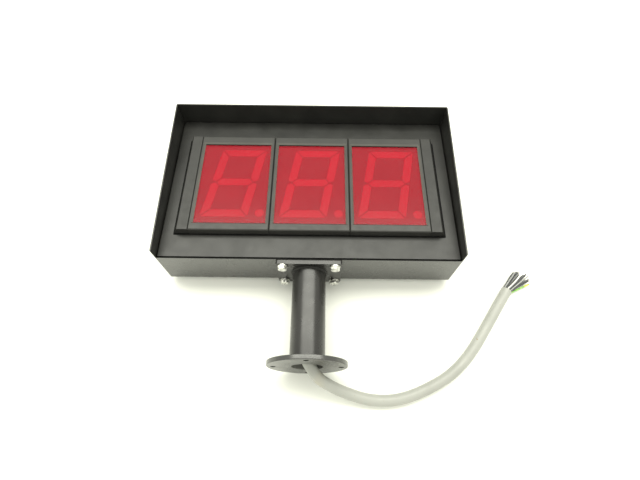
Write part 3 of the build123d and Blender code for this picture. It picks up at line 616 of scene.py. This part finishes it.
def head_ring(centre, y, turn, share, six_sided):
    """Points round a bolt head at one height: on a share of its hexagon, or of the round of its chamfer."""
    corner_radius, steps = 5.774 * MM, 4
    corners = [on_circle(centre, corner_radius, y, turn + k * pi / 3) for k in range(7)]
    points = []
    for k in range(6 * steps):
        if six_sided:
            near, far = corners[k // steps : k // steps + 2]
            place = near.lerp(far, (k % steps) / steps)
        else:
            place = on_circle(centre, corner_radius * 0.95, y, turn + 2 * pi * k / (6 * steps))
        points.append(Vector((centre.x, y, centre.z)).lerp(place, share))
    return points


def make_plate_bolts():
    """Hexagon heads with a chamfered crown and a washer face, and the shanks behind them."""
    crown, shank_end = (corner.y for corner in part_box("plate_bolts"))
    washers_low, washers_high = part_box("plate_washers")
    seat = washers_low.y
    middle, reach = (washers_low + washers_high) / 2, (washers_high - washers_low) / 2
    washer_radius, shank_radius = 6 * MM, 3 * MM
    # Height, share of the head's width, and whether the head is six-sided there.
    levels = (
        (seat, 0.93, False),
        (seat - 0.25 * MM, 1.0, True),
        (crown + 0.9 * MM, 1.0, True),
        (crown + 0.35 * MM, 0.955, False),
        (crown + 0.02 * MM, 0.80, False),
        (crown, 0.55, False),
        (crown + 0.25 * MM, 0.50, False),
    )
    bm = bmesh.new()
    for sx, sz in ((-1, -1), (-1, 1), (1, -1), (1, 1)):
        x, z = middle.x + sx * (reach.x - washer_radius), middle.z + sz * (reach.z - washer_radius)
        centre = Vector((x, 0, z))
        turn = rng.uniform(0, pi / 3)
        rings = []
        for y, share, six_sided in levels:
            rings.append([bm.verts.new(point) for point in head_ring(centre, y, turn, share, six_sided)])
        for first, second in zip(rings, rings[1:]):
            bridge(bm, first, second)
        bm.faces.new(rings[0])
        bm.faces.new(rings[-1])
        shank = [Vector((x, seat + 0.1 * MM, z)), Vector((x, shank_end, z))]
        add_tube(bm, shank, shank_radius, sides=20)
    obj = new_object("hex_bolts", bm)
    edges = obj.modifiers.new("split", "EDGE_SPLIT")
    edges.split_angle = radians(28)
    apply_modifiers(obj)
    return settle(obj, ["plate_bolts"], "case", ZINC)


def make_ribbons():
    """Folded flat cables, ridged along their wires; the folds are the slack for the panel to lift."""
    folds, steps_to_fold, wires = 5, 14, 32
    half_thickness, ridge, end_gap = 0.3 * MM, 0.12 * MM, 1.2 * MM
    total = folds * steps_to_fold
    for side in SIDES:
        node = f"ribbon_{side}"
        low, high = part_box(node)
        middle_y = (low.y + high.y) / 2
        reach = (high.y - low.y) / 2 - end_gap
        line = []
        for k in range(total + 1):
            t = k / total
            line.append(Vector((0, middle_y - reach * sin(pi * folds * t), low.z + (high.z - low.z) * t)))
        bm = bmesh.new()
        for way in (1, -1):
            rows = []
            for k, point in enumerate(line):
                along = (line[min(k + 1, total)] - line[max(k - 1, 0)]).normalized()
                normal = Vector((0, -along.z, along.y))
                row = []
                for w in range(wires + 1):
                    x = low.x + (high.x - low.x) * w / wires
                    lift = way * (half_thickness + ridge * (w % 2))
                    row.append(bm.verts.new(Vector((x, point.y, point.z)) + normal * lift))
                rows.append(row)
            for first, second in zip(rows, rows[1:]):
                bridge(bm, first, second, closed=False)
        bmesh.ops.holes_fill(bm, edges=[e for e in bm.edges if e.is_boundary], sides=0)
        obj = new_object(f"flat_cable_{side}", bm)
        add_looks(obj, RIBBON)
        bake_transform(obj)
        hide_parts(node)


def dress_cad_nodes():
    """Finishes for the CAD nodes that stay as they are."""
    screws = ["module_screws", "digit_screws", "driver_screws", "terminal_screws"]
    finishes = {
        PAINT: ["panel_ledges", "plate_nuts"],
        SPRING: ["panel_clips"],
        LAMP: [f"leds_{s}" for s in SIDES],
        BOARD: [f"digit_board_{s}" for s in SIDES] + ["driver_board"],
        ZINC: screws + ["earth_stud", "earth_nut"],
        CHIP: ["digit_headers", "board_headers", "driver_chips", "power_module"],
        BRASS: ["board_standoffs"],
        SLEEVE: ["capacitors"],
        TERMINAL: ["terminal_block"],
        CORE_EARTH: ["earth_lead"],
        CORE_DARK: ["inside_cores"],
        NYLON: ["cable_gland", "gland_nut", "gland_cap"],
        # The gasket is black so that its rim round the module row's base draws the shadow line there: a real
        # gasket carrying painted shadow.
        RUBBER_AND_PAINTED_SHADE: ["gland_seal", "row_gasket"],
        SHEATH: ["cable_inner"],
    }
    for material, names in finishes.items():
        for name in names:
            data = nodes[name].data
            data.materials.clear()
            data.materials.append(material)


def paint_bore_light_and_hole_shade(obj):
    """Paints the inside of the tube a lighter grey, as painted light falling into its mouth, and the walls of
    the bolt holes near-black, as painted shade.
    """
    low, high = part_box("post_tube")
    middle, radius = (low + high) / 2, (high.x - low.x) / 2
    bore = radius - 1.5 * MM
    holes_start, holes_end = radius + 12 * MM, 2 * radius + 1.5 * MM
    bore_light, dark = add_looks(obj, BORE_PAINTED_LIGHT, RUBBER_AND_PAINTED_SHADE)
    for face in obj.data.polygons:
        out = Vector((face.center.x - middle.x, 0, face.center.z - middle.z))
        faces_middle = out.dot(face.normal) < -0.5 * out.length
        is_wall = abs(face.normal.y) < 0.3
        # Inside faces of the bore: a lighter grey as painted light.
        if out.length < bore and faces_middle:
            face.material_index = bore_light
        # Walls of the bolt holes: near-black painted shade.
        if holes_start < out.length < holes_end and is_wall:
            face.material_index = dark


def dress_window(obj, node):
    """Painted highlight on the slopes at a window's top and sides, a lighter and slightly shinier moulding,
    and a black strip of painted shadow in the slot between its top lip and the filter.
    """
    low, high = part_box(node.replace("bezel", "filter"))
    painted_sheen, dark = add_looks(obj, LIP_PAINTED_HIGHLIGHT, RUBBER_AND_PAINTED_SHADE)
    # The lighter slopes are a painted highlight; the bottom slope keeps the bezel's colour.
    for face in obj.data.polygons:
        over_filter = low.x < face.center.x < high.x and low.y < face.center.y < high.y
        is_slope = 0.15 < face.normal.z < 0.98
        is_bottom = face.normal.y >= 0.3
        if over_filter and is_slope and not is_bottom:
            face.material_index = painted_sheen
    # A black sheet just over the filter under the top lip: painted shadow where the lip shades the filter.
    overlap = 2 * MM
    left, right, lip = low.x + overlap, high.x - overlap, high.y - overlap
    slot_low, slot_high = lip - 1.1 * MM, lip + 0.1 * MM
    corners = ((left, slot_low), (right, slot_low), (right, slot_high), (left, slot_high))
    bm = bmesh.new()
    bm.from_mesh(obj.data)
    for height in (0.05 * MM, 0.35 * MM):
        verts = [bm.verts.new((x, y, high.z + height)) for x, y in corners]
        bm.faces.new(verts).material_index = dark
    bm.to_mesh(obj.data)
    bm.free()


def paint_rim_shadow_and_wall_sheen(obj):
    """Black painted shadow along the top edge of the case's bottom wall, where it meets the panel, and a
    painted sheen on that wall's outside: a brighter, glossier copy of the coat.
    """
    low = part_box("housing_shell")[0]
    outside, inside, strip_end = low.y + 0.5 * MM, low.y + 1.6 * MM, -low.x - 3 * MM
    dark, painted_sheen = add_looks(obj, RUBBER_AND_PAINTED_SHADE, FLANGE_COAT_AND_WALL_SHEEN)
    for face in obj.data.polygons:
        faces_down, faces_front = face.normal.y < -0.9, face.normal.z > 0.5
        # Outside of the bottom wall: a brighter, glossier coat as painted sheen.
        if faces_down and face.center.y < outside:
            face.material_index = painted_sheen
        # Black top edge of the bottom wall: painted shadow of the gap at the panel's edge.
        if faces_front and face.center.y < inside and abs(face.center.x) < strip_end:
            face.material_index = dark


def make_pieces():
    """Every piece that stands for a CAD node with rounded edges or finer shape."""
    hairline, fine, plain, wide = 0.15 * MM, 0.2 * MM, 0.35 * MM, 0.5 * MM
    paint_rim_shadow_and_wall_sheen(soften("housing_shell", "hooded_case", "case", PAINT, plain))
    soften("front_panel", "front_tray", "tray", PAINT, plain)
    for side in SIDES:
        bezel = f"bezel_{side}"
        module = soften(bezel, f"module_frame_{side}", "tray", BEZEL, 0.55 * MM, 3)
        dress_window(module, bezel)
        soften(f"filter_{side}", f"window_{side}", "tray", FILTER, fine)
        soften(f"digit_body_{side}", f"digit_block_{side}", "tray", DIGIT_FACE, hairline, 1)
        soften(f"segments_{side}", f"digit_bars_{side}", "tray", SEGMENT, wide, 3)
    for side in ("left", "right"):
        soften(f"end_strip_{side}", f"row_end_{side}", "tray", STRIP, plain, 3)
    soften("post_plate", "mounting_plate", "case", POST_PAINT, wide, 3)
    paint_bore_light_and_hole_shade(soften("post_tube", "post_pipe", "case", POST_PAINT, 0.4 * MM))
    paint_bore_light_and_hole_shade(soften("post_flange", "bolt_flange", "case", FLANGE_COAT_AND_WALL_SHEEN, 0.4 * MM, 3))
    soften("plate_washers", "flat_washers", "case", ZINC, 0.3 * MM, 3)
    make_weld_beads()
    make_plate_bolts()
    make_ribbons()
    dress_cad_nodes()


# ---------------------------------------------------------------- floor and light


def make_floor():
    """White table that the flange's rim and the far edge of the case rest on."""
    rim_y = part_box("post_flange")[1].y
    shell_low, shell_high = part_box("housing_shell")
    rise, run = shell_low.z, shell_high.y - rim_y
    half = 3.0
    bm = bmesh.new()
    corners = [(-half, -half), (half, -half), (half, half), (-half, half)]
    bm.faces.new([bm.verts.new((x, y, (y - rim_y) * rise / run)) for x, y in corners])
    obj = new_object("table_top", bm)
    add_looks(obj, floor_finish())


def area_light(name, place, aim, width, depth, power, colour):
    """Soft rectangular lamp aimed at a point."""
    data = bpy.data.lights.new(name, "AREA")
    data.shape = "RECTANGLE"
    data.size = width
    data.size_y = depth
    data.energy = power
    data.color = colour
    lamp = bpy.data.objects.new(name, data)
    lamp.location = place
    lamp.rotation_euler = (Vector(aim) - Vector(place)).to_track_quat("-Z", "Y").to_euler()
    scene.collection.objects.link(lamp)


def make_light():
    """One soft box overhead in an evenly white room."""
    warm = (1.0, 1.0, 0.90)
    place, below = (0.0, 0.47, 1.60), (0.0, 0.47, 0.0)
    area_light("soft_box", place, below, width=2.6, depth=0.7, power=39.0, colour=warm)
    world = bpy.data.worlds.new("room")
    world.use_nodes = True
    scene.world = world
    background = world.node_tree.nodes["Background"]
    background.inputs["Color"].default_value = (*warm, 1.0)
    background.inputs["Strength"].default_value = 1.3


make_camera()
make_cable()
make_pieces()
make_floor()
make_light()
